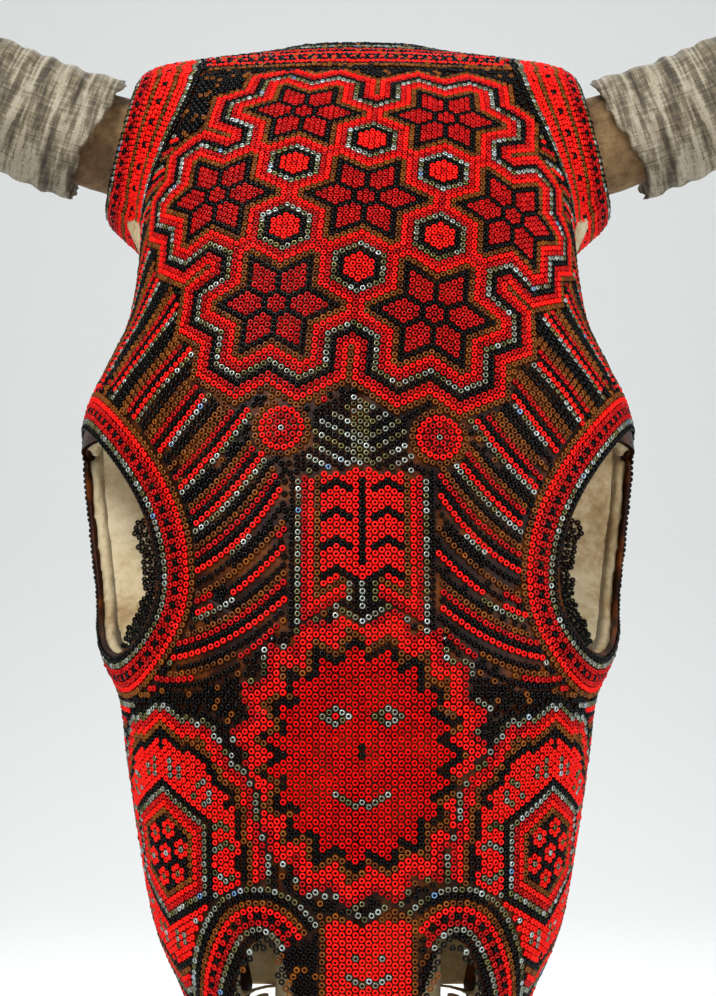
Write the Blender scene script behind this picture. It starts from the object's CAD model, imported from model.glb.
import math
import bmesh
import bpy
import numpy as np
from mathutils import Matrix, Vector, noise
from mathutils.bvhtree import BVHTree
from mathutils.geometry import barycentric_transform


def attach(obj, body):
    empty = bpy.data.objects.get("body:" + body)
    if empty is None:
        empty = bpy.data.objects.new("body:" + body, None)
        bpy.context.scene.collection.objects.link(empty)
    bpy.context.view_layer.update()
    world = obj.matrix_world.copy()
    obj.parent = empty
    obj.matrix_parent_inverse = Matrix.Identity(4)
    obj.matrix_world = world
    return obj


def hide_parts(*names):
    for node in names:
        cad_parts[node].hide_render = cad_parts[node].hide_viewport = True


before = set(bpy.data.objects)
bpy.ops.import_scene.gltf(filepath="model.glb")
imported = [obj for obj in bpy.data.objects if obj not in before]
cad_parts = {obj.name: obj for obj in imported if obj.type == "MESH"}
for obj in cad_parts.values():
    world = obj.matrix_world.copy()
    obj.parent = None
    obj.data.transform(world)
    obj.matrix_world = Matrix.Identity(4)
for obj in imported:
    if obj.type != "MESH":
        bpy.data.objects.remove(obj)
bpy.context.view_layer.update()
print("stage: frame loaded")

sides = {"left": -1, "right": 1}
mm = 0.001

# The skull's own surface, as the CAD has it: height, midline front, half width, depth of the
# widest point, rear half width, rear depth, squareness of the front. Millimetres.
skull = {
    "sections": [
        [-352, -150, 25, -118, 15, -104, 2.2],
        [-330, -164, 32, -120, 19,  -98, 2.2],
        [-300, -178, 40, -124, 24,  -90, 2.2],
        [-275, -187, 47, -126, 27,  -80, 2.3],
        [-246, -192, 56, -128, 28,  -73, 2.3],
        [-225, -193, 65, -128, 28,  -72, 2.3],
        [-200, -193, 70, -128, 28,  -72, 2.3],
        [-168, -192, 75, -126, 28,  -72, 2.3],
        [-150, -191, 78, -122, 30,  -72, 2.3],
        [-136, -189, 85, -118, 42,  -71, 2.2],
        [-118, -185, 89, -114, 56,  -70, 2.1],
        [-100, -181, 93, -108, 66,  -68, 2.1],
        [ -75, -174, 96, -100, 68,  -62, 2.1],
        [ -54, -168, 93,  -94, 64,  -52, 2.2],
        [ -40, -163, 87,  -88, 60,  -42, 2.3],
        [ -24, -157, 80,  -82, 54,  -30, 2.4],
        [  -5, -149, 77,  -76, 47,  -18, 2.5],
        [  15, -137, 76,  -70, 41,  -10, 2.6],
        [  35, -122, 74,  -66, 38,   -8, 2.6],
        [  50, -109, 71,  -62, 36,   -8, 2.6],
        [  65,  -92, 62,  -57, 32,  -14, 2.5],
        [  76,  -75, 46,  -53, 24,  -26, 2.3],
        [  86,  -55, 22,  -47, 12,  -38, 2.2]],
    "horn": (88, -50, 48),       # where the right horn's axis leaves
    "hornRise": 16, "hornForward": 25, "hornBend": 320,
    "ring": 22.5, "bossReach": 15,
    "orbit": (0.80, -99, 0.33, 37, 0.06),   # s, z, half s, half height, lean
    "bone": 4.0, "wax": 1.2, "beads": 2.4}
rows = np.array(skull["sections"], float)
last = len(rows) - 1
slopes = np.array([(rows[min(i + 1, last)] - rows[max(i - 1, 0)])
                   / (rows[min(i + 1, last), 0] - rows[max(i - 1, 0), 0]) for i in range(len(rows))])


def section(z, c):   # the same cubic through the stations as the CAD's
    i = np.clip(np.searchsorted(rows[:, 0], z, side="right") - 1, 0, last - 1)
    h = rows[i + 1, 0] - rows[i, 0]
    t = np.clip((z - rows[i, 0]) / h, -0.2, 1.2)
    u = 1 - t
    return (rows[i, c] * (1 + 2 * t) * u * u + rows[i + 1, c] * t * t * (3 - 2 * t)
            + h * (slopes[i, c] * t * u * u - slopes[i + 1, c] * t * t * u))


def tilt(p):         # turned as far as the horns lean forward
    a = math.radians(skull["hornForward"])
    c, s = math.cos(a), math.sin(a)
    return np.array([p[0], p[1] * c - p[2] * s, p[1] * s + p[2] * c])


rise = math.radians(skull["hornRise"])
hornWay = tilt((math.cos(rise), 0, math.sin(rise)))


def skin(s, z):      # points of the bare bone's outside, in mm
    s, z = np.broadcast_arrays(np.asarray(s, float), np.asarray(z, float))
    a = np.abs(s)
    front, wide, side = section(z, 1), section(z, 2), section(z, 3)
    rearX, rearY, e = section(z, 4), section(z, 5), 2 / section(z, 6)
    f, g = np.minimum(a, 1) * math.pi / 2, np.clip(a - 1, 0, 1.2) * math.pi / 2
    x = np.where(a <= 1, wide * np.sin(f) ** e, rearX + (wide - rearX) * np.cos(g))
    y = np.where(a <= 1, side + (front - side) * np.clip(np.cos(f), 0, 1) ** e,
                 side + (rearY - side) * np.sin(g))
    hx, hy, hz = skull["horn"]
    r = np.hypot(y - hy, z - hz)
    swell = np.where(r <= skull["ring"], 1, np.exp(-((r - skull["ring"]) / skull["bossReach"]) ** 2))
    face = hx - ((y - hy) * hornWay[1] + (z - hz) * hornWay[2]) / hornWay[0]
    t = np.clip((x - 25) / 25, 0, 1)
    x = x + np.maximum(0, face - x) * swell * t * t * (3 - 2 * t)
    return np.stack([np.sign(s) * x, y, z], -1)


def skinNormal(s, z):
    d = np.cross(skin(s + 0.02, z) - skin(s - 0.02, z), skin(s, z + 1.5) - skin(s, z - 1.5))
    return d / np.linalg.norm(d, axis=-1, keepdims=True)


def orbitLevel(s, z, trimS=0, trimZ=0):      # below 1 inside the eye socket, above 1 outside it
    so, zo, half, tall, lean = skull["orbit"]
    across = (np.abs(s) - so - lean * (z - zo) / tall) / (half - trimS)
    return across ** 2 + ((z - zo) / (tall - trimZ)) ** 2


# ---- camera and light ----

view = {"place": (0, -710, -85), "lens": 62.5, "pale": "#e9ebeb", "world": 0.5}
lamps = {    # disk lamps: place and aim in metres, width, power, tint
    "key": ((-0.7, -1.5, 1.5), (0, -0.1, -0.05), 1.1, 46, (1, 0.985, 0.96)),
    "fill": ((1.5, -1.4, 0.5), (0, -0.1, -0.1), 1.4, 21, (0.96, 0.98, 1)),
    "low": ((0.1, -1.6, -0.9), (0, -0.1, -0.15), 1.2, 9, (1, 1, 1)),
    "back": ((0, 1.2, 1.2), (0, 0, 0), 1.2, 10, (1, 1, 1)),
    "wall": ((0, 1.0, 0.3), (0, 3.0, 0.4), 2.0, 8, (1, 1, 1))}
sweep = {"half": 6, "height": 9, "bend": 1.5, "place": (0, -3, -0.62)}       # metres


def linear(code):    # sRGB hex to linear
    parts = [int(code[i:i + 2], 16) / 255 for i in (1, 3, 5)]
    return tuple(p / 12.92 if p <= 0.04045 else ((p + 0.055) / 1.055) ** 2.4 for p in parts) + (1.0,)


def setCamera():
    data = bpy.data.cameras.new("camera")
    data.lens = view["lens"]
    data.clip_start, data.clip_end = 0.01, 50
    camera = bpy.data.objects.new("camera", data)
    camera.location = Vector(view["place"]) * mm
    camera.rotation_euler = (math.pi / 2, 0, 0)
    bpy.context.collection.objects.link(camera)
    bpy.context.scene.camera = camera


def setLights():
    for name, (place, aim, size, power, tint) in lamps.items():
        data = bpy.data.lights.new(name, "AREA")
        data.shape, data.size, data.energy, data.color = "DISK", size, power, tint
        lamp = bpy.data.objects.new(name, data)
        lamp.location = place
        lamp.rotation_euler = (Vector(aim) - Vector(place)).to_track_quat("-Z", "Y").to_euler()
        bpy.context.collection.objects.link(lamp)
    world = bpy.data.worlds.new("studio")
    world.use_nodes = True
    sky = world.node_tree.nodes["Background"].inputs
    sky["Color"].default_value, sky["Strength"].default_value = linear(view["pale"]), view["world"]
    bpy.context.scene.world = world
    bpy.context.scene.view_settings.view_transform = "Standard"


def setFloor():      # a pale sweep under and behind the hanging skull
    bm = bmesh.new()
    bmesh.ops.create_grid(bm, x_segments=1, y_segments=1, size=sweep["half"])
    far = [e for e in bm.edges if all(v.co.y > 0 for v in e.verts)]
    up = bmesh.ops.extrude_edge_only(bm, edges=far)
    raised = [v for v in up["geom"] if isinstance(v, bmesh.types.BMVert)]
    bmesh.ops.translate(bm, verts=raised, vec=(0, 0, sweep["height"]))
    bmesh.ops.bevel(bm, geom=far, offset=sweep["bend"], segments=16, profile=0.5, affect="EDGES",
                    material=-1)
    bmesh.ops.translate(bm, verts=bm.verts, vec=sweep["place"])
    for face in bm.faces:
        face.smooth = True
    mesh = bpy.data.meshes.new("floor")
    bm.to_mesh(mesh)
    bm.free()
    floor = bpy.data.objects.new("floor", mesh)
    bpy.context.collection.objects.link(floor)
    mesh.materials.append(mattPaper())


# ---- materials ----

def addNode(tree, kind, settings=None, **links):     # a node with its settings and what feeds it
    node = tree.nodes.new("ShaderNode" + kind)
    for key, value in (settings or {}).items():
        if key == "stops":           # a ramp's places and sRGB colours
            stops = node.color_ramp.elements
            stops.remove(stops[1])
            for i, (at, code) in enumerate(value):
                stop = stops.new(at) if i else stops[0]
                stop.position, stop.color = at, linear(code)
        elif isinstance(key, str) and hasattr(node, key):
            setattr(node, key, value)
        else:
            node.inputs[key].default_value = value
    for key, source in links.items():        # i0 and i1 tell apart sockets of the same name
        name = int(key[1]) if key in ("i0", "i1") else key.replace("_", " ")
        tree.links.new(source, node.inputs[name])
    return node


def newMaterial(name, finish):       # finish: what is the same all over, on the shader's own sockets
    material = bpy.data.materials.new(name)
    material.use_nodes = True
    tree = material.node_tree
    shader = tree.nodes["Principled BSDF"].inputs
    for socket, value in finish.items():
        shader[socket].default_value = value
    return material, tree, shader


def mattPaper():     # a paper backdrop: no gloss, only a faint change in it
    material, tree, shader = newMaterial("paper sweep", {"Base Color": linear(view["pale"])})
    spots = addNode(tree, "TexNoise", {"Scale": 3, "Detail": 2})
    rough = addNode(tree, "MapRange", {"To Min": 0.86, "To Max": 0.94}, Value=spots.outputs["Fac"])
    tree.links.new(rough.outputs[0], shader["Roughness"])
    return material


# Seed glass is pressed or drawn soda glass: opaque colours are dense through and glossy, while
# transparent ones let the wax show, which darkens them. Each bead's own tone is its attribute.
# Silver is black glass with an iris coat, which runs from olive through grey to pale blue.
glass = {    # sRGB from the darkest bead to the lightest, roughness, metallic, how much it mirrors
    "red": ([(0, "#f40b06"), (1, "#ff2014")], 0.30, 0, 0.14),
    "crimson": ([(0, "#b40403"), (1, "#e80a07")], 0.32, 0, 0.08),
    "ruby": ([(0, "#9c0507"), (1, "#d41312")], 0.24, 0, 0.14),
    "black": ([(0, "#010101"), (1, "#040505")], 0.18, 0, 0.16),
    "amber": ([(0, "#4e2404"), (1, "#8f4f10")], 0.24, 0, 0.2),
    "silver": ([(0, "#3b3a22"), (0.3, "#6f6b3e"), (0.5, "#77796a"), (0.72, "#9fa89f"),
                (0.9, "#b9c4c2"), (1, "#6f93bb")], 0.24, 0.6, 0.4),
    "gold": ([(0, "#a8741c"), (1, "#f0c050")], 0.20, 0.8, 0.5)}


def beadGlass(name):
    stops, rough, metal, mirror = glass[name]
    material, tree, shader = newMaterial("seed glass " + name, {
        "Roughness": rough, "Metallic": metal, "Specular IOR Level": mirror, "IOR": 1.52})
    tone = addNode(tree, "Attribute", {"attribute_name": "tone"})
    tint = addNode(tree, "ValToRGB", {"stops": stops}, Fac=tone.outputs["Fac"])
    tree.links.new(tint.outputs["Color"], shader["Base Color"])
    return material


def beeswax():       # soft, brown with age, a little dull: patches of 11 mm and lumps of 1.4 mm
    material, tree, shader = newMaterial("beeswax", {"Roughness": 0.42, "Specular IOR Level": 0.1})
    place = addNode(tree, "TexCoord").outputs["Object"]
    cloud = addNode(tree, "TexNoise", {"Scale": 90, "Detail": 5}, Vector=place)
    tint = addNode(tree, "ValToRGB", {"stops": [(0.3, "#110502"), (0.5, "#2a1004"), (0.7, "#6a340a")]},
                   Fac=cloud.outputs["Fac"])
    tree.links.new(tint.outputs["Color"], shader["Base Color"])
    lumps = addNode(tree, "TexNoise", {"Scale": 700, "Detail": 3}, Vector=place)
    bump = addNode(tree, "Bump", {"Strength": 0.4, "Distance": 0.0004}, Height=lumps.outputs["Fac"])
    tree.links.new(bump.outputs[0], shader["Normal"])
    return material


def dryBone(name, stops, pitScale, pitDepth):
    # sun-dried and chalky, stained where fat was: stains of 38 mm, mottling of 4 mm, fine pores
    material, tree, shader = newMaterial(name, {
        "Roughness": 0.78, "Subsurface Weight": 0.06, "Subsurface Scale": 0.004})
    place = addNode(tree, "TexCoord").outputs["Object"]
    stain = addNode(tree, "TexNoise", {"Scale": 26, "Detail": 8, "Roughness": 0.62}, Vector=place)
    mottle = addNode(tree, "TexNoise", {"Scale": 260, "Detail": 6, "Roughness": 0.7}, Vector=place)
    mixed = addNode(tree, "Mix", {"data_type": "FLOAT", "Factor": 0.32},
                    A=stain.outputs["Fac"], B=mottle.outputs["Fac"])
    tint = addNode(tree, "ValToRGB", {"stops": stops}, Fac=mixed.outputs[0])
    tree.links.new(tint.outputs["Color"], shader["Base Color"])
    pits = addNode(tree, "TexVoronoi", {"Scale": pitScale, "Randomness": 1}, Vector=place)
    holes = addNode(tree, "MapRange", {"From Min": 0.0, "From Max": 0.28}, Value=pits.outputs["Distance"])
    height = addNode(tree, "Math", {"operation": "MULTIPLY"},
                     i0=holes.outputs[0], i1=mottle.outputs["Fac"])
    bump = addNode(tree, "Bump", {"Strength": 0.6, "Distance": pitDepth}, Height=height.outputs[0])
    tree.links.new(bump.outputs[0], shader["Normal"])
    return material


def hornKeratin():   # grey and brown layers flaking along and round the horn
    material, tree, shader = newMaterial("weathered horn", {"Roughness": 0.66})
    along = addNode(tree, "Attribute", {"attribute_name": "along"}).outputs["Fac"]       # mm
    around = addNode(tree, "Attribute", {"attribute_name": "around"}).outputs["Fac"]
    # fibres run the length of the horn, and rings cross it about every 9 mm
    slow = addNode(tree, "Math", {"operation": "MULTIPLY", 1: 0.012}, i0=along)
    fibre = addNode(tree, "CombineXYZ", X=slow.outputs[0], Y=around)
    grain = addNode(tree, "TexNoise", {"Scale": 9, "Detail": 8, "Roughness": 0.7},
                    Vector=fibre.outputs[0])
    quick = addNode(tree, "Math", {"operation": "MULTIPLY", 1: 0.22}, i0=along)
    wide = addNode(tree, "Math", {"operation": "MULTIPLY", 1: 0.25}, i0=around)
    rings = addNode(tree, "CombineXYZ", X=quick.outputs[0], Y=wide.outputs[0])
    layers = addNode(tree, "TexNoise", {"Scale": 1.3, "Detail": 6, "Roughness": 0.65},
                     Vector=rings.outputs[0])
    mixed = addNode(tree, "Mix", {"data_type": "FLOAT", "Factor": 0.72},
                    A=grain.outputs["Fac"], B=layers.outputs["Fac"])
    tint = addNode(tree, "ValToRGB", {"stops": [(0.32, "#18110a"), (0.42, "#3a3024"), (0.49, "#665c46"),
                                                (0.57, "#a29985"), (0.68, "#6d5930")]},
                   Fac=mixed.outputs[0])
    tree.links.new(tint.outputs["Color"], shader["Base Color"])
    bump = addNode(tree, "Bump", {"Strength": 0.5, "Distance": 0.0009}, Height=mixed.outputs[0])
    tree.links.new(bump.outputs[0], shader["Normal"])
    return material


setCamera()
setLights()
setFloor()


# ---- lines drawn on the skin as (s, z), the same as the CAD's but finer ----

fine = 4             # cells here for each of the CAD's


def straight(a, b, n):
    return np.linspace(np.asarray(a, float), np.asarray(b, float), n * fine + 1)


def rim(start, end, n):      # round the eye socket
    a = np.radians(np.linspace(start, end, n * fine + 1))
    s, z, half, tall, lean = skull["orbit"]
    return np.stack([s + half * np.cos(a) + lean * np.sin(a), z + tall * np.sin(a)], -1)


def ring(start, end, n):     # round the root of the horn
    a = np.radians(np.linspace(start, end, n * fine + 1))
    y, z = skull["horn"][1] + skull["ring"] * np.cos(a), skull["horn"][2] + skull["ring"] * np.sin(a)
    front, side, rear, e = (section(z, c) for c in (1, 3, 5, 6))
    fore = np.arccos(np.clip((y - side) / (front - side), 0, 1) ** (e / 2))
    aft = math.pi / 2 + np.arcsin(np.clip((y - side) / (rear - side), 0, 1))
    return np.stack([np.where(y <= side, fore, aft) * 2 / math.pi, z], -1)


def joined(*lines):
    return np.concatenate([lines[0]] + [line[1:] for line in lines[1:]])


def path(*legs):     # legs are start, end, cells; with no cells it is a short one across a suture
    return np.concatenate([straight(*leg) if leg[2] else np.linspace(*leg[:2], fine)[:-1]
                           for leg in legs])


def plateLines():    # zone: its two edges, its cells across, and how many of them carry beads
    temple, crown, bulge = (1.05, -40), (1.0, 85), 0.30
    below = straight(ring(270, 270, 1)[0], temple, 3)        # the wax is pressed round on to the temple
    below[:, 0] += bulge * np.sin(math.pi * np.linspace(0, 1, len(below)) ** 0.6)
    side = joined(straight(crown, ring(90, 90, 1)[0], 3), ring(90, 270, 8), below,
                  straight(temple, rim(48, 48, 1)[0], 1), rim(48, 190, 9))
    middle = np.linspace((0, 85), (0, -139), len(side))
    return {
        "forehead": (middle, side, 8, 8),
        "nose": (path(((0, -140), (0, -282), 14)),
                 path(((0.17, -127), (0.19, -216), 9), ((0.19, -218), (0.175, -227), 0),
                      ((0.18, -224), (0.06, -282), 4)), 3, 3),
        "under_eye": (path(((0.184, -126.8), (0.19, -148), 5)), rim(191, 244, 5), 4, 4),
        "eye_rim": (rim(245, 406, 12),
                    path(((0.20, -149.4), (1.32, -146), 5), ((1.34, -144.4), (1.42, -138), 0),
                         ((1.42, -138), (1.36, -58), 6)), 3, 3),
        "cheek": (path(((0.19, -150.6), (0.20, -214), 6), ((0.23, -215.5), (0.30, -220), 0),
                       ((0.30, -220), (0.60, -264), 4)),
                  path(((1.98, -150.6), (1.98, -264), 11)), 9, 7),
        "muzzle": (path(((0.60, -265), (0.66, -300), 3), ((0.665, -302), (0.68, -308), 0),
                        ((0.68, -308), (0.2, -350), 4)),
                   path(((1.80, -265), (1.85, -300), 3), ((1.85, -302), (1.85, -308), 0),
                        ((1.85, -308), (1.85, -350), 4)), 4, 3)}


zones = plateLines()


# ---- a flat pattern of the skin, on which the beadwork is laid out in mm ----

chart = {"reach": 1.66, "across": 88, "low": -346, "high": 84.5, "up": 87, "level0": -161}


def flatten():
    bm = bmesh.new()
    bmesh.ops.create_grid(bm, x_segments=chart["across"], y_segments=chart["up"], size=1)
    co = np.array([v.co for v in bm.verts])
    s = co[:, 0] * chart["reach"]
    z = chart["low"] + (co[:, 1] + 1) / 2 * (chart["high"] - chart["low"])
    spots = skin(s, z)
    eye = orbitLevel(s, z, 0.036, 4) < 1
    fromHorn = np.hypot(spots[:, 1] - skull["horn"][1], spots[:, 2] - skull["horn"][2])
    horn = (fromHorn < skull["ring"] - 4) & (np.abs(s) > 0.5)
    for v, p in zip(bm.verts, spots):
        v.co = p
    bm.verts.index_update()
    gaps = [f for f in bm.faces if sum(bool(eye[v.index] or horn[v.index]) for v in f.verts) >= 3]
    bmesh.ops.delete(bm, geom=gaps, context="FACES_ONLY")
    mesh = bpy.data.meshes.new("pattern")
    bm.to_mesh(mesh)
    sheet = bpy.data.objects.new("pattern", mesh)
    bpy.context.collection.objects.link(sheet)
    for other in bpy.context.selected_objects:
        other.select_set(False)
    bpy.context.view_layer.objects.active = sheet
    sheet.select_set(True)
    bpy.ops.object.mode_set(mode="EDIT")
    bpy.ops.mesh.select_all(action="SELECT")
    bpy.ops.uv.unwrap(method="MINIMUM_STRETCH", margin=0)
    bpy.ops.object.mode_set(mode="OBJECT")
    flat = np.full((len(s), 2), np.nan)
    corner = np.zeros(len(mesh.loops), int)
    mesh.loops.foreach_get("vertex_index", corner)
    uv = np.zeros(2 * len(mesh.loops))
    mesh.uv_layers.active.data.foreach_get("uv", uv)
    flat[corner] = uv.reshape(-1, 2)
    quads = np.array([tuple(p.vertices) for p in mesh.polygons if len(p.vertices) == 4])
    order = np.lexsort((s, z))       # rows from the muzzle up, each from left to right
    rank = np.argsort(order)
    shape = (chart["up"] + 1, chart["across"] + 1)
    flat, spots = flat[order].reshape(shape + (2,)), spots[order].reshape(shape + (3,))
    quads = rank[quads]
    middle = flat[:, shape[1] // 2]
    lean = math.atan2(*(middle[-1] - middle[0]))
    turn = np.array([[math.cos(lean), -math.sin(lean)], [math.sin(lean), math.cos(lean)]])
    flat = flat @ turn.T
    f, p = flat.reshape(-1, 2), spots.reshape(-1, 3)
    a, b, c = f[quads[:, 0]], f[quads[:, 1]], f[quads[:, 2]]
    across = np.abs((b - a)[:, 0] * (c - a)[:, 1] - (b - a)[:, 1] * (c - a)[:, 0]).sum()
    real = np.cross(p[quads[:, 1]] - p[quads[:, 0]], p[quads[:, 2]] - p[quads[:, 0]])
    real = np.linalg.norm(real, axis=1).sum()
    flat *= math.sqrt(real / across)
    flat = np.stack([(flat[..., 0] - flat[:, ::-1, 0]) / 2, (flat[..., 1] + flat[:, ::-1, 1]) / 2], -1)
    if flat[shape[0] // 2, -1, 0] < 0:
        flat[..., 0] *= -1
    heights = np.linspace(chart["low"], chart["high"], shape[0])
    row = np.argmin(np.abs(heights - chart["level0"]))       # level 0 is the middle of the sun
    flat[..., 1] -= flat[row, shape[1] // 2, 1]
    bpy.data.objects.remove(sheet)
    bm.free()
    return flat, quads, s[order], z[order]


flat, flatQuads, flatS, flatZ = flatten()
flatPoints = [Vector((u, v, 0)) if u == u else Vector((999, 999, 0)) for u, v in flat.reshape(-1, 2)]
flatTris = [t for q in flatQuads.tolist() for t in ((q[0], q[1], q[2]), (q[0], q[2], q[3]))]
flatTree = BVHTree.FromPolygons(flatPoints, flatTris)
square = 2 / section(flatZ, 6)       # x goes about as this power of s
flatPlace = [Vector((math.copysign(abs(s) ** e, s), z, 0)) for s, z, e in zip(flatS, flatZ, square)]
print("stage: skin flattened, in mm", *(np.round(ends(flat, (0, 1))) for ends in (np.nanmin, np.nanmax)))


def toFlat(line):    # (s, z) to the flat pattern
    x = (line[:, 0] + chart["reach"]) / (2 * chart["reach"]) * chart["across"]
    y = (line[:, 1] - chart["low"]) / (chart["high"] - chart["low"]) * chart["up"]
    i, j = np.clip(x.astype(int), 0, chart["across"] - 1), np.clip(y.astype(int), 0, chart["up"] - 1)
    x, y = (x - i)[:, None], (y - j)[:, None]
    return ((1 - x) * (1 - y) * flat[j, i] + x * (1 - y) * flat[j, i + 1]
            + (1 - x) * y * flat[j + 1, i] + x * y * flat[j + 1, i + 1])


def fromFlat(u, v):  # the flat pattern to (s, z), or None off its edge
    spot, _, index, distance = flatTree.find_nearest(Vector((u, v, 0)), 0.4)
    if index is None:
        return None
    a, b, c = flatTris[index]
    place = barycentric_transform(spot, flatPoints[a], flatPoints[b], flatPoints[c],
                                  flatPlace[a], flatPlace[b], flatPlace[c])
    return math.copysign(abs(place.x) ** (float(section(place.y, 6)) / 2), place.x), place.y


# ---- the bead pattern ----

beadwork = {
    "pitch": 2.14,       # 11/0 seed beads, as they pack on the flat pattern
    "row": 1.93,         # rows laid along a line
    "closest": 0.86,     # of a pitch: a bead nearer than this to one already laid is left out
    "medallion": (2.4, 175.6), "medallionTurn": -4.5,
    "rosettes": ((-22.6, 95.1), (23.9, 92.1)),
    "fan": (0.6, 86, 104), "panel": (1.2, 42, 85),
    "sun": (1.1, 0.8, 24, 28, 19),
    "rhombus": (1.9, -37.7), "mask": (3.0, -57),
    "cheek": (62.5, -29.5, 29.5, 34.5)}      # centre, then the reach of its outline across and up
pitch = beadwork["pitch"]
laid, nearCells = [], {}


def lay(u, v, glassName):    # one bead, unless another is too near
    gap = (pitch * beadwork["closest"]) ** 2
    i, j = int(u // pitch), int(v // pitch)
    for a in (i - 1, i, i + 1):
        for b in (j - 1, j, j + 1):
            for x, y in nearCells.get((a, b), ()):
                if (x - u) ** 2 + (y - v) ** 2 < gap:
                    return
    nearCells.setdefault((i, j), []).append((u, v))
    laid.append((u, v, glassName))


def strand(points, glassName, closed=False):     # one row of beads strung along a line
    points = np.asarray(points, float)
    if closed:
        points = np.concatenate([points, points[:1]])
    step = np.hypot(*np.diff(points, axis=0).T)
    run = np.concatenate([[0], np.cumsum(step)])
    count = max(1, int(round(run[-1] / pitch)))
    for k in range(count if closed else count + 1):
        at = run[-1] * k / count
        name = glassName[k % len(glassName)] if isinstance(glassName, (list, tuple)) else glassName
        if name:
            lay(np.interp(at, run, points[:, 0]), np.interp(at, run, points[:, 1]), name)


def away(points, distance, closed=True):     # a line kept at one distance outside another
    points = np.asarray(points, float)
    if closed:
        ahead, behind = np.roll(points, -1, 0), np.roll(points, 1, 0)
    else:
        ahead = np.concatenate([points[1:], points[-1:]])
        behind = np.concatenate([points[:1], points[:-1]])
    way = ahead - behind
    way /= np.hypot(way[:, 0], way[:, 1])[:, None] + 1e-9
    return points + distance * np.stack([way[:, 1], -way[:, 0]], -1)


def both(points, side):      # the left side as drawn, the right its mirror image
    return np.asarray(points, float) * ([1, 1] if side < 0 else [-1, 1])


def curve(start, middle, end, n=24):     # a smooth line through three points
    t = np.linspace(0, 1, n)[:, None]
    start, middle, end = (np.asarray(p, float) for p in (start, middle, end))
    hold = 2 * middle - (start + end) / 2
    return (1 - t) ** 2 * start + 2 * t * (1 - t) * hold + t * t * end


def lattice(centre, reachU, reachV, turn=0):      # close-packed places, columns upright
    c, s = math.cos(math.radians(turn)), math.sin(math.radians(turn))
    n = int(max(reachU, reachV) / pitch * 1.3) + 2
    for q in range(-n, n + 1):
        for r in range(-n, n + 1):
            x, y = r * pitch * math.cos(math.pi / 6), (q + r / 2) * pitch
            u, v = x * c - y * s, x * s + y * c
            if abs(u) <= reachU and abs(v) <= reachV:
                yield q, r, centre[0] + u, centre[1] + v


def sector(q, r):    # how far a place is along the two lattice arms beside it
    if q < 0 or (q == 0 and r < 0):
        q, r = -q, -r
    if r >= 0:
        return q, r
    return (q + r, -r) if q + r >= 0 else (q, -(q + r))


def hexSteps(q, r):
    return max(abs(q), abs(r), abs(q + r))


def layRings(line, names, closed=False):     # rows outside a line on the right, and their mirror image
    for edge in ((line * (-1, 1))[::-1], line):
        for k, name in enumerate(names):
            strand(away(edge, 1.0 + k * beadwork["row"], closed), name, closed)


def layOrbits():     # rings of beads round each eye socket
    layRings(toFlat(rim(0, 360, 24)[:-1]),
             ["black", "silver", "ruby", ("black", "ruby"), "ruby", "red", "amber"], closed=True)


def layCollars():    # rings round the front of each horn
    layRings(toFlat(ring(72, 288, 20)),
             ["black", "silver", "ruby", ("black", "ruby"), "ruby", "red", "amber", "red",
              ("black", "red", "red", "red"), "red", "amber", "red", "red", "silver", "black"])


def layPoll():       # rows along the crest between the horns
    names = ["black", "silver", "ruby", "red", ("black", "red"), "red", "amber", "black"]
    for k, name in enumerate(names):
        z = 84.2 - k * 2.4
        strand(toFlat(np.linspace((-0.62, z), (0.62, z), 60)), name)


def layMedallion():  # seven stars that share their outlines, with a rosette in each gap
    apart = 13           # rows from one star's middle towards the next
    arms = [(1, 0), (0, 1), (-1, 1), (-1, 0), (0, -1), (1, -1)]
    stars = [(0, 0)] + [(apart * (a[0] + b[0]), apart * (a[1] + b[1]))
                        for a, b in zip(arms, arms[1:] + arms[:1])]
    outline = ["black", "amber", "red", "ruby", "silver", "black", "ruby", "red", "amber"]
    for q, r, u, v in lattice(beadwork["medallion"], 90, 95, beadwork["medallionTurn"]):
        near = [sector(q - x, r - y) for x, y in stars]
        level, a, b = min((max(a, b, a + b - 5), a, b) for a, b in near)     # tips cut off square
        rosette = min(hexSteps(q - apart * x, r - apart * y) for x, y in arms)
        if level > apart:
            continue
        if rosette <= 4:
            name = ["ruby", "red", "red", "black", "silver"][rosette]
        elif level <= 4:
            name = "ruby" if a + b <= 1 or not (a == 0 or b == 0 or a == b == 1) else "black"
        else:
            name = outline[level - 5]
        lay(u, v, name)


def layRosettes():   # two round rosettes under the medallion, and the fan between them
    for u, v in beadwork["rosettes"]:
        lay(u, v, "silver")
        for k, name in enumerate(["ruby", "ruby", "red", "amber"]):
            r = (k + 1) * beadwork["row"] * 1.04
            a = np.linspace(0, 2 * math.pi, 49)[:-1]
            strand(np.stack([u + r * np.cos(a), v + r * np.sin(a)], -1), name, closed=True)
    u0, low, high = beadwork["fan"]
    for q, r, u, v in lattice((u0, low), 26, 30):     # a stem with branches that rise outwards
        x, w = abs(r), v - abs(r) * pitch / 2 - low   # w is level along a branch
        if x > 10 or w < -8 * pitch or v > high + 5 - x * pitch / 2 or v < low - 3 - 0.2 * x:
            continue
        branch = round(w / pitch) % 2 == 0 and x <= 8 and v < high - x * pitch / 2
        lay(u, v, "silver" if branch or (x <= 1 and v < high + 1) else "black")
    for side in (-1, 1):
        for k in range(3):
            strand(both([(-15 + k * 2, 105 - k * 1.6), (-6 - k * 1.5, 109.5 - k * 2)], side), "ruby")


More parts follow.
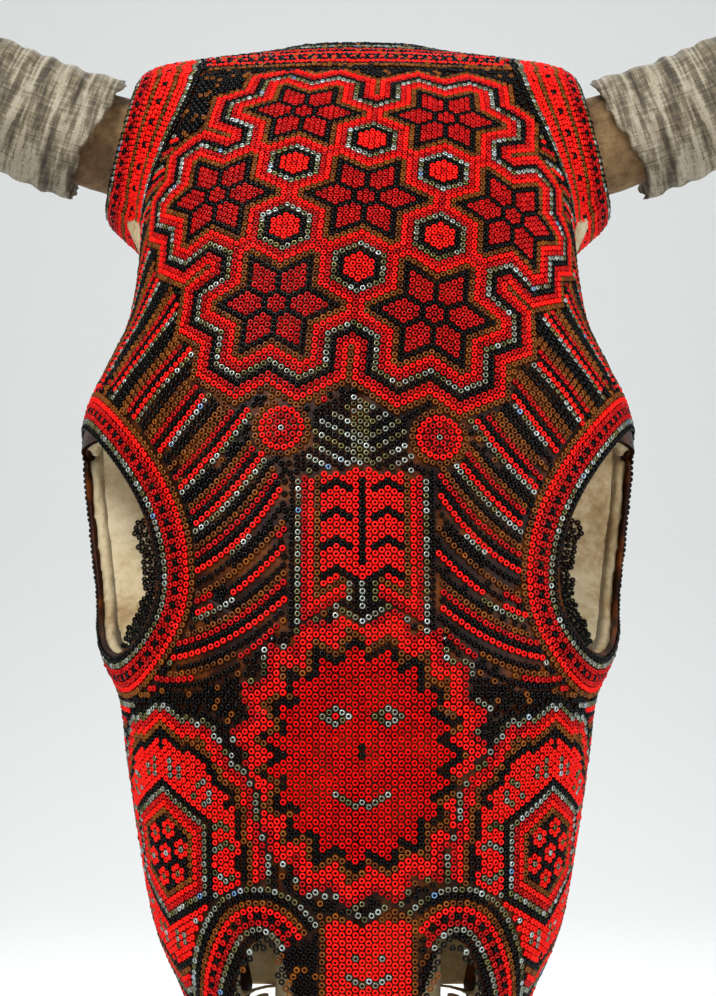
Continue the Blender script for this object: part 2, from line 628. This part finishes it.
def layPanel():      # a feathered panel down the middle, in upright columns, on a fringed lozenge
    u0, low, high = beadwork["panel"]
    for q, r, u, v in lattice((u0, low), 24, 56):
        x, n = abs(r), round((v - low) * 2 / pitch)      # columns, half pitches up
        edge = n + x                                  # level along the notch cut into the foot
        crest = (high - low) * 2 / pitch - (4 - x if x < 4 else 0) + (3 if x > 7 else 0)
        if x > 11 or n > crest:
            continue
        if (n >= 8 if x <= 2 else edge >= 6 or x > 9 and edge >= 8):
            name = {7: "amber", 8: "red", 9: "ruby", 10: "silver", 11: "black"}.get(x, "red")
            if 3 <= x <= 9 and edge in (6, 7):
                name = "ruby"
            elif 3 <= x <= 8 and edge in (8, 9):
                name = "red"
            elif 3 <= x <= 7 and edge in (10, 11):
                name = "amber"
            elif x == 0 and 11 <= n <= crest - 2:
                name = "black"
            elif 2 <= x <= 6 and (n + abs(x - 4)) % 8 == 2 and 10 <= n + abs(x - 4) <= 36:
                name = "black"
            lay(u, v, name)
        elif x <= 9 and n >= x - 4:
            lay(u, v, "silver" if n <= x - 3 or (x % 2 == 0 and x <= 4 and n > x - 1) else "black")


def laySun():        # a plain round face with short rays, worked on the same upright columns
    u0, v0, wide, tall, rays = beadwork["sun"]
    eye = [(0, 2), (0, -2), (1, 1), (1, -1), (-1, 1), (-1, -1), (2, 0), (-2, 0)]     # as the smile
    smile = {0: -12, 1: -13, 2: -12, 3: -11, 4: -10}         # column: half pitches up
    names = ["crimson", "black", "amber", "red", "red", "ruby", "silver"]
    for q, r, u, v in lattice((u0, v0), wide + 18, tall + 18):
        half = round((v - v0) * 2 / pitch)
        a = math.atan2(v - v0, u - u0)
        saw = abs(((a * rays / (2 * math.pi)) % 1) - 0.5) * 4 - 1
        edge = 1 / math.hypot(math.cos(a) / wide, math.sin(a) / tall) + saw * 2.9
        level = (math.hypot(u - u0, v - v0) - edge) / 2.35 + 1
        if level > 6.4 or cheekLevel(u, v) < 4.5:
            continue
        name = names[max(0, min(6, int(level)))]
        if level < 1:
            at = (abs(r) - 4, half - 10)
            name = "silver" if at in eye or smile.get(abs(r)) == half else "crimson"
            if at == (0, 0):
                name = "red"
            elif r == 0 and half in (0, 2):
                name = "black"
        lay(u, v, name)


def layNose():       # the lozenge and the small panel below the sun, and the arches beside them
    u0, v0 = beadwork["rhombus"]
    for q, r, u, v in lattice((u0, v0), 14, 9):
        d = abs(u - u0) / 11.5 + abs(v - v0) / 6.2
        if d <= 1.12:
            lay(u, v, "gold" if d < 0.22 else "black" if d < 0.74 else "silver")
    u0, v0 = beadwork["mask"]
    for q, r, u, v in lattice((u0, v0), 16, 18):
        d = max(abs(u - u0) / 14, (abs(v - v0) + 0.1 * abs(u - u0)) / 15)
        if d > 1:
            continue
        eye = min(math.hypot(u - u0 - side * 4.2, v - v0 - 3) for side in (-1, 1))
        smile = abs(math.hypot(u - u0, v - v0 - 1) - 6.2) < 1 and v < v0 - 3.2
        lay(u, v, "silver" if eye < 1.2 or smile else "amber" if d > 0.86 else "red")
    outer = toFlat(np.linspace((0.305, -222), (0.60, -264), 20))
    inner = toFlat(np.array([(0.20, -224)]))[0]
    crown = curve(outer[0], (outer[0] + inner) / 2 + (0, 5), inner, 9)[1:-1]
    layRings(np.concatenate([outer[::-1], crown]),
             ["black", "silver", "ruby", ("black", "ruby"), "red", "amber", "black", "silver"])


def cheekLevel(u, v):    # rows out from the wavy outline of the nearer cheek's medallion
    u0, v0, wide, tall = beadwork["cheek"]
    a = math.atan2((v - v0) / tall, (abs(u) - u0) / wide)
    out = math.hypot((abs(u) - u0) / wide, (v - v0) / tall) - 1
    return (out * 32 - 0.9 * math.cos(a * 12)) / beadwork["row"]


def layCheeks():     # a round medallion on each cheek: seven flowers, six-sided rings, a dashed field
    u0, v0, wide, tall = beadwork["cheek"]
    flowers = [(0, 0), (3, 1), (-1, 4), (-4, 3), (-3, -1), (1, -4), (4, -3)]
    rings = {6: "amber", 7: "red", 8: "ruby", 9: "silver", 10: "black"}
    for side in (-1, 1):
        for q, r, u, v in lattice((u0 * side, v0), 42, 48):
            level, steps = cheekLevel(u, v), hexSteps(q, r)
            if level > 5.5 or (level < 0 and u * side < 6):
                continue
            flower = min(hexSteps(q - x, r - y) for x, y in flowers)
            a = math.atan2((v - v0) / tall, (u - u0 * side) / wide)
            part = (math.degrees(a) % 30) - 15
            along = math.radians(1) * math.hypot(u - u0 * side, v - v0)      # mm for each degree
            if steps <= 5:
                name = ["silver", "red"][flower] if flower < 2 else "black"
            elif steps <= 10:
                name = rings[steps]
            elif level > -0.5:
                name = ["black", "amber", "red", "ruby", "silver", "black"][max(0, round(level))]
            elif -5.2 < level < -1.6 and abs(abs(part) * along - 2.4) < 0.95:
                name = "silver"
            elif level > -2.2 and (15 - abs(part)) * along < 1.05:
                name = "black"
            else:
                name = "red"
            lay(u, v, name)


def layStripes():    # rows that run up and inwards from each eye socket to the medallion
    keys = [((-118, 152), (-104, 176), (-88, 190)), ((-109, 136), (-94, 158), (-78, 172)),
            ((-99, 122), (-84, 142), (-68, 157)), ((-88, 111), (-74, 126), (-60, 141)),
            ((-76, 99), (-64, 112), (-50, 126)), ((-66, 87), (-54, 99), (-42, 113)),
            ((-59, 75), (-45, 87), (-33, 101)), ((-56, 63), (-41, 73), (-27, 89)),
            ((-56, 51), (-38, 59), (-23, 76)), ((-56, 39), (-37, 46), (-19, 62)),
            ((-62, 28), (-40, 32), (-18, 47)), ((-69, 21), (-46, 19), (-26, 31))]
    orders = ["red silver black amber ruby", "red silver black amber ruby black",
              "red silver black black amber ruby black", "red silver black black amber amber ruby black",
              "red silver black black black amber amber ruby black"]
    for side in (-1, 1):
        for top, low in zip(keys, keys[1:]):
            along = np.subtract(top[2], top[0]) + np.subtract(low[2], low[0])
            gaps = [abs(np.cross(along, np.subtract(b, a))) / math.hypot(*along)
                    for a, b in zip(top, low)]
            count = round((max(gaps) + np.mean(gaps)) / 2 / beadwork["row"])
            names = orders[min(9, max(5, count)) - 5].split()
            for k, name in enumerate(names):
                t = k / len(names)
                points = [np.asarray(a) * (1 - t) + np.asarray(b) * t for a, b in zip(top, low)]
                strand(both(curve(*points), side), name)


def ground(u, v):    # what fills the places between the figures
    if cheekLevel(u, v) < 0:
        return "red"
    u0, v0, wide, tall, _ = beadwork["sun"]
    if math.hypot((u - u0) / wide, (v - v0) / tall) < 0.9:
        return "crimson"
    if abs(u) < 64 and v > -74:
        cloud = int(abs(math.sin(u * 0.31) + math.sin(v * 0.27)) * 2.4)
        return "amber" if cloud == 2 else "black"
    names = ["red", "silver", "black", "amber", "ruby", "black"]
    return names[int(v // (pitch * math.cos(math.pi / 6))) % 6]


def layRest():       # level rows everywhere else, and then beads in whatever gaps are left
    low, high = np.nanmin(flat[..., 1]), np.nanmax(flat[..., 1])
    reach = np.nanmax(flat[..., 0])
    rowRise = pitch * math.cos(math.pi / 6)
    for j in range(int(low // rowRise), int(high // rowRise) + 2):
        for i in range(-int(reach / pitch) - 1, int(reach / pitch) + 2):
            u, v = (i + (j % 2) / 2) * pitch, (j + 0.5) * rowRise
            lay(u, v, ground(u, v))
    grain = np.random.default_rng(3)
    for v in np.arange(-80, 232, 0.62):
        for u in np.arange(-110, 110, 0.62):
            x, y = u + grain.uniform(-0.2, 0.2), v + grain.uniform(-0.2, 0.2)
            lay(x, y, ground(x, y))


for step in (layOrbits, layCollars, layPoll, layMedallion, layRosettes, layPanel, laySun, layNose,
             layCheeks, layStripes, layRest):
    step()
    print("stage:", step.__name__, len(laid), "places")


# ---- beads ----

def insideOf(loop, s, z):    # even-odd rule for points in a closed (s, z) outline
    hit = np.zeros(len(s), bool)
    for (x1, y1), (x2, y2) in zip(loop, np.roll(loop, -1, 0)):
        span = (y1 > z) != (y2 > z)
        hit ^= span & (s < (x2 - x1) * (z - y1) / (y2 - y1 + 1e-12) + x1)
    return hit


def zoneLoops():
    loops = {}
    for name, (a, b, across, used) in zones.items():
        far = a + (b - a) * used / across
        loops[name] = np.concatenate([a, far[::-1]])
    return loops


def sortBeads():     # which zone each place falls in
    spots = [fromFlat(u, v) for u, v, _ in laid]
    keep = [i for i, spot in enumerate(spots) if spot]
    s, z = np.array([spots[i] for i in keep]).T
    names = np.array([laid[i][2] for i in keep])
    zone = np.full(len(keep), "", dtype="U12")
    nudges = ((0, 0), (0.018, 0), (-0.018, 0), (0, 1.4), (0, -1.4), (0.018, 1.4), (-0.018, -1.4),
              (0.034, 0), (-0.034, 0), (0, 2.6), (0, -2.6), (0.03, 2.2), (-0.03, 2.2),
              (0.03, -2.2), (-0.03, -2.2))
    for nudge in nudges:
        for name, loop in zoneLoops().items():
            hit = insideOf(loop, np.abs(s) + nudge[0], z + nudge[1]) & (zone == "")
            if nudge != (0, 0):      # the nudge is only for the sutures, not for free edges
                hit &= orbitLevel(s, z) > 1
            zone[hit] = name
    return s, z, names, zone


bead = {"profile": ((1.12, 0, 0.42), (0.72, 0, 1.2), (0.37, 0, 0.62)), "steps": 8,       # mm
        "lean": 0.09, "size": 0.035, "height": 0.05, "tone": 0.22, "lift": 0.07}     # how each varies


def beadShape():     # one seed bead standing on end, hole up, in mm above the wax's face
    bm = bmesh.new()
    profile = [bm.verts.new(p) for p in bead["profile"]]
    edges = [bm.edges.new((a, b)) for a, b in zip(profile, profile[1:] + profile[:1])]
    bmesh.ops.spin(bm, geom=profile + edges, axis=(0, 0, 1), cent=(0, 0, 0), steps=bead["steps"],
                   angle=2 * math.pi, use_merge=True)
    bmesh.ops.remove_doubles(bm, verts=bm.verts, dist=0.001)
    bmesh.ops.recalc_face_normals(bm, faces=bm.faces)
    bm.verts.index_update()
    points = np.array([v.co for v in bm.verts])
    faces = np.array([[v.index for v in f.verts] for f in bm.faces])
    bm.free()
    return points, faces


beadPoints, beadFaces = beadShape()
chance = np.random.default_rng(11)
pieces = {}


def finishPiece(mesh, material, body, slotName, *nodes):
    for polygon in mesh.polygons:
        polygon.use_smooth = True
    piece = bpy.data.objects.new(mesh.name, mesh)
    bpy.context.collection.objects.link(piece)
    mesh.materials.append(material)
    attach(piece, body)
    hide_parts(*nodes)
    pieces[mesh.name] = piece


def beadMesh(name, centres, normals):
    count, each = len(centres), len(beadPoints)
    twist = chance.uniform(0, 2 * math.pi, count)
    normals = normals + chance.normal(0, bead["lean"], (count, 3))
    normals /= np.linalg.norm(normals, axis=1)[:, None]
    side = np.cross(normals, [0.3, 0.2, 0.93])
    side /= np.linalg.norm(side, axis=1)[:, None]
    other = np.cross(normals, side)
    x = side * np.cos(twist)[:, None] + other * np.sin(twist)[:, None]
    y = np.cross(normals, x)
    size = chance.normal(1, bead["size"], (count, 1))
    tall = chance.normal(1, bead["height"], (count, 1))
    verts = (centres[:, None] + x[:, None] * (beadPoints[:, 0:1] * size[:, None])
             + y[:, None] * (beadPoints[:, 1:2] * size[:, None])
             + normals[:, None] * (beadPoints[:, 2:3] * tall[:, None]))
    faces = beadFaces[None] + (np.arange(count) * each)[:, None, None]
    mesh = bpy.data.meshes.new(name)
    mesh.vertices.add(count * each)
    mesh.vertices.foreach_set("co", (verts * mm).astype(np.float32).ravel())
    mesh.loops.add(faces.size)
    mesh.loops.foreach_set("vertex_index", faces.astype(np.int32).ravel())
    mesh.polygons.add(count * len(beadFaces))
    mesh.polygons.foreach_set("loop_start", np.arange(0, faces.size, 4, dtype=np.int32))
    mesh.update(calc_edges=True)
    tones = np.clip(chance.normal(0.5, bead["tone"], count), 0, 1)
    tone = mesh.attributes.new("tone", "FLOAT", "POINT")
    tone.data.foreach_set("value", np.repeat(tones, each).astype(np.float32))
    return mesh


glassOf = {name: beadGlass(name) for name in glass}


def layBeads():
    s, z, names, zone = sortBeads()
    spots, out = skin(s, z), skinNormal(s, z)
    total = 0
    for place in zones:
        for side, sign in sides.items():
            for name in glass:
                pick = (zone == place) & (names == name) & (np.sign(s + 1e-9) == sign)
                if not pick.any():
                    continue
                lift = skull["wax"] + chance.normal(0, bead["lift"], (pick.sum(), 1))
                mesh = beadMesh(f"beads_{place}_{side}_{name}", spots[pick] + out[pick] * lift, out[pick])
                finishPiece(mesh, glassOf[name], "skull", "beads", f"beads_{place}_{side}")
                total += int(pick.sum())
    print("stage: beads", total, "of", len(laid), "left out", int((zone == "").sum()))


layBeads()


# ---- wax ----

wax = {"overlap": 1.3, "depth": 1.5}     # mm: pressed over the sutures, and from its face down


def layWax():        # a smooth bed of wax over each bone, sunk a little into it
    material = beeswax()
    for place, (a, b, across, used) in zones.items():
        for side, sign in sides.items():
            bm = bmesh.new()
            tiers, columns = used * fine, len(a) - 1
            bmesh.ops.create_grid(bm, x_segments=columns, y_segments=tiers, size=1)
            co = np.array([v.co for v in bm.verts])
            i = (co[:, 0] + 1) / 2 * columns
            t = ((co[:, 1] + 1) / 2 * used / across)[:, None]
            index = np.arange(columns + 1)
            start = np.stack([np.interp(i, index, a[:, k]) for k in (0, 1)], -1)
            end = np.stack([np.interp(i, index, b[:, k]) for k in (0, 1)], -1)
            at = start + (end - start) * t
            s = at[:, 0] + 1e-4
            normals = skinNormal(s, at[:, 1])
            spots = skin(s, at[:, 1]) + normals * skull["wax"]
            edge = {v for e in bm.edges if e.is_boundary for v in e.verts}
            ways = [Vector((n[0] * sign, n[1], n[2])) for n in normals]
            for v, p in zip(bm.verts, spots):
                v.co = (p[0] * sign, p[1], p[2])
            bm.verts.ensure_lookup_table()
            spread = {}
            for v in edge:
                near = [e.other_vert(v) for e in v.link_edges if e.other_vert(v) not in edge]
                if near:
                    spread[v] = (v.co - near[0].co).normalized() * wax["overlap"]
            for v, reach in spread.items():
                v.co += reach
            top = bm.verts[:]
            bmesh.ops.extrude_face_region(bm, geom=bm.faces[:])
            for v, way in zip(top, ways):
                v.co -= way * wax["depth"]
            bmesh.ops.recalc_face_normals(bm, faces=bm.faces)
            bmesh.ops.scale(bm, vec=(mm, mm, mm), verts=bm.verts)
            mesh = bpy.data.meshes.new(f"wax_bed_{place}_{side}")
            bm.to_mesh(mesh)
            bm.free()
            finishPiece(mesh, material, "skull", "wax", f"wax_{place}_{side}")
    print("stage: wax")


layWax()


# ---- bone ----

bones = {    # node: voxel in mm, relief in mm
    "single": {"occipital_bone": (1.5, 0.5), "interparietal_bone": (1.5, 0.5),
               "basisphenoid_bone": (1.6, 0.5), "vomer": (1.2, 0.2)},
    "paired": {"frontal_bone": (2.0, 0.15), "temporal_bone": (1.7, 0.45), "zygomatic_arch": (1.2, 0.4),
               "orbitosphenoid_bone": (0, 0.45), "nasal_bone": (1.8, 0.15), "lacrimal_bone": (1.8, 0.15),
               "zygomatic_bone": (1.8, 0.15), "maxilla": (1.8, 0.25), "premaxilla": (1.8, 0.15),
               "palatine_bone": (1.2, 0.3), "pterygoid_bone": (1.1, 0.25), "nasal_turbinate": (0.9, 0.1),
               "cheek_teeth": (0.9, 0.12), "horn_core": (1.5, 0.25)}}
boneLooks = {    # pores 2.4 mm apart in bone and 1.9 mm in horn core, pits 5.6 mm apart in enamel
    "bone": dryBone("dry bone", [(0.3, "#6f5333"), (0.42, "#9c835c"), (0.52, "#bfae8b"),
                                 (0.66, "#d6c9ab")], 420, 0.0006),
    "core": dryBone("porous horn core", [(0.34, "#35230f"), (0.45, "#6b4f2e"), (0.55, "#90734b"),
                                         (0.68, "#ad936b")], 520, 0.0012),
    "teeth": dryBone("worn tooth enamel", [(0.3, "#6b4f2c"), (0.45, "#a98c5c"), (0.58, "#cdbb91"),
                                           (0.7, "#e0d4b4")], 180, 0.0003)}


def liveBone(node, voxel, relief):       # a copy of the CAD bone, worn at its corners and uneven
    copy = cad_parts[node].data.copy()
    bm = bmesh.new()
    bm.from_mesh(copy)
    bmesh.ops.remove_doubles(bm, verts=bm.verts, dist=1e-6)
    bm.to_mesh(copy)
    bm.free()
    copy.materials.clear()
    draft = bpy.data.objects.new("draft", copy)
    bpy.context.collection.objects.link(draft)
    if voxel:
        remesh = draft.modifiers.new("worn", "REMESH")
        remesh.mode, remesh.voxel_size = "VOXEL", voxel * mm
    else:            # a thin bowl, which voxels would tear
        finer = draft.modifiers.new("finer", "SUBSURF")
        finer.levels = finer.render_levels = 2
    soften = draft.modifiers.new("soft", "SMOOTH")
    soften.iterations, soften.factor = 3, 0.5
    mesh = bpy.data.meshes.new_from_object(draft.evaluated_get(bpy.context.evaluated_depsgraph_get()))
    bpy.data.objects.remove(draft)
    co = np.zeros(len(mesh.vertices) * 3, np.float32)
    way = np.zeros_like(co)
    mesh.vertices.foreach_get("co", co)
    mesh.vertex_normals.foreach_get("vector", way)
    co, way = co.reshape(-1, 3), way.reshape(-1, 3)
    bumps = np.array([noise.fractal(Vector(p) * 85, 0.8, 2.1, 4) for p in co.tolist()])      # 12 mm apart
    co += way * (bumps * relief * mm)[:, None]
    mesh.vertices.foreach_set("co", co.ravel())
    mesh.name = "worn_" + node
    slotName = "core" if "horn_core" in node else "teeth" if "teeth" in node else "bone"
    finishPiece(mesh, boneLooks[slotName], "skull", slotName, node)


for node, look in bones["single"].items():
    liveBone(node, *look)
for node, look in bones["paired"].items():
    for side in sides:
        liveBone(f"{node}_{side}", *look)
print("stage: bones", sum(n.startswith("worn") for n in pieces))


def layBowls():      # a patch of black beads on the inner wall of each eye socket
    so, zo, half, tall, lean = skull["orbit"]
    for side, sign in sides.items():
        bowl = pieces[f"worn_orbitosphenoid_bone_{side}"].data
        tree = BVHTree.FromPolygons([v.co / mm for v in bowl.vertices],
                                    [tuple(p.vertices) for p in bowl.polygons])
        spots, ways = [], []
        for turn in np.radians(np.arange(167, 262, 0.8)):
            deep = 0.54 + 0.36 * ((turn - 2.9) / 1.67) ** 2 + 0.025 * math.sin(turn * 24)
            for part in np.arange(0.99, deep, -0.01):
                s = so + part * (half * math.cos(turn) + lean * math.sin(turn))
                z = zo + part * tall * math.sin(turn)
                start = skin(s, z) * (sign, 1, 1) - (0, 20, 0)
                hit, way, _, _ = tree.ray_cast(Vector(start), Vector((0, 1, 0)), 90)
                if hit is None:
                    continue
                way = way if way.y < 0 else -way
                if all((hit - other).length > pitch * 0.93 for other in spots):
                    spots.append(hit)
                    ways.append(way)
        if spots:
            mesh = beadMesh(f"beads_bowl_{side}", np.array(spots), np.array(ways))
            finishPiece(mesh, glassOf["black"], "skull", "beads", f"beads_under_eye_{side}")
        print("stage: bowl", side, len(spots), "beads")


layBowls()


# ---- horn sheaths ----

horn = {    # mm; the last four are how rough the weathered keratin is
    "coreR": 19.0, "coreLength": 190.0, "length": 300.0, "gap": 13.0, "play": 0.8, "wall": 5.4,
    "around": 88, "bore": 40, "outer": 230,      # cells round it, down its bore, along its outside
    "ringApart": 9, "slant": 8, "rings": 0.55, "flakes": 0.9, "ragged": 4.5, "chips": 0.5}


def hornPoint(arc, r, a):    # arc from the root along the curve, r and a about its axis
    turn = arc / skull["hornBend"] + rise
    out = np.stack([np.sin(turn), np.zeros_like(turn), -np.cos(turn)], -1)
    centre = np.array(skull["horn"]) - skull["hornBend"] * tilt((math.sin(rise), 0, -math.cos(rise)))
    p = (skull["hornBend"] * out + (r * np.cos(a))[:, None] * out
         + (r * np.sin(a))[:, None] * np.array([0, 1, 0]))
    return centre + np.array([tilt(q) for q in p])


def coreRadius(arc):
    return horn["coreR"] * (1 - 0.62 * (np.maximum(0, arc) / horn["coreLength"]) ** 1.15)


def sheathRadius(arc):
    t = arc / horn["length"]
    return (horn["coreR"] + horn["wall"]) * (1 - 0.30 * t - 0.54 * t ** 2.2)


def onRing(angle, reach, level):     # where the noise is read, so that it closes round the horn
    return Vector((math.cos(angle) * reach, math.sin(angle) * reach, level))


def makeSheath(side, sign, material):
    around, bore, outer, gap = horn["around"], horn["bore"], horn["outer"], horn["gap"]
    total = bore + outer
    bm = bmesh.new()
    bmesh.ops.create_grid(bm, x_segments=total, y_segments=around, size=1)
    co = np.array([v.co for v in bm.verts])
    k = (co[:, 0] + 1) / 2 * total
    a = (co[:, 1] + 1) * math.pi
    depth = np.clip(1 - k / bore, 0, 1)                      # 1 deep in the bore, 0 at the mouth
    t = np.clip((k - bore) / outer, 0, 1)
    inside = k < bore
    arc = np.where(inside, gap + (horn["coreLength"] - gap + 4) * depth, gap + horn["length"] * t)
    hole = coreRadius(np.minimum(arc, horn["coreLength"])) + horn["play"] + 1.6 * (1 - depth) ** 3
    r = np.where(inside, hole, sheathRadius(arc - gap))
    r = np.where(inside & (depth > 0.995), 0.5, r)
    near = np.array([noise.fractal(onRing(x, 1.6, y * 0.03 + sign * 7), 0.9, 2.0, 5)
                     for x, y in zip(a, arc)])
    chips = np.array([noise.noise(onRing(x, 5, y * 0.11 + sign * 3)) for x, y in zip(a, arc)])
    fade = np.clip(t * 40, 0, 1) * np.clip((1 - t) * 12, 0, 1)
    ridges = np.cos(arc * 2 * math.pi / horn["ringApart"] + near * 3) * horn["rings"] * np.exp(-t * 2.2)
    steps = np.floor((near + 1) * 4) / 4 - 1                 # layers that have flaked off in plates
    worn = ridges + horn["flakes"] * steps * 1.1 + horn["chips"] * np.maximum(chips, -0.3)
    r = r + np.where(inside, 0, fade * worn)
    r = np.where(t >= 1, 0.4, r)
    jag = np.array([noise.fractal(onRing(x, 3, sign), 0.7, 2, 4) for x in a])
    jag = horn["ragged"] * (0.5 + 0.5 * jag)
    jag = jag - horn["slant"] * np.maximum(0, -np.cos(a))    # the upper lip reaches nearer the skull
    arc = arc + jag * np.where(inside, np.clip(1 - depth * 6, 0, 1), np.clip(1 - t * 14, 0, 1))
    spots = hornPoint(arc, r, a)
    for v, p in zip(bm.verts, spots):
        v.co = (p[0] * sign * mm, p[1] * mm, p[2] * mm)
    mesh = bpy.data.meshes.new(f"weathered_sheath_{side}")
    along, turn = bm.verts.layers.float.new("along"), bm.verts.layers.float.new("around")
    for v, x, y in zip(bm.verts, arc, a):
        v[along], v[turn] = x, math.cos(y) * 3 + 3
    bmesh.ops.remove_doubles(bm, verts=bm.verts, dist=2e-6)
    bmesh.ops.holes_fill(bm, edges=bm.edges, sides=0)
    bmesh.ops.recalc_face_normals(bm, faces=bm.faces)
    bm.to_mesh(mesh)
    bm.free()
    finishPiece(mesh, material, f"sheath_{side}", "keratin", f"horn_sheath_{side}")


keratin = hornKeratin()
for side, sign in sides.items():
    makeSheath(side, sign, keratin)
print("stage: sheaths")
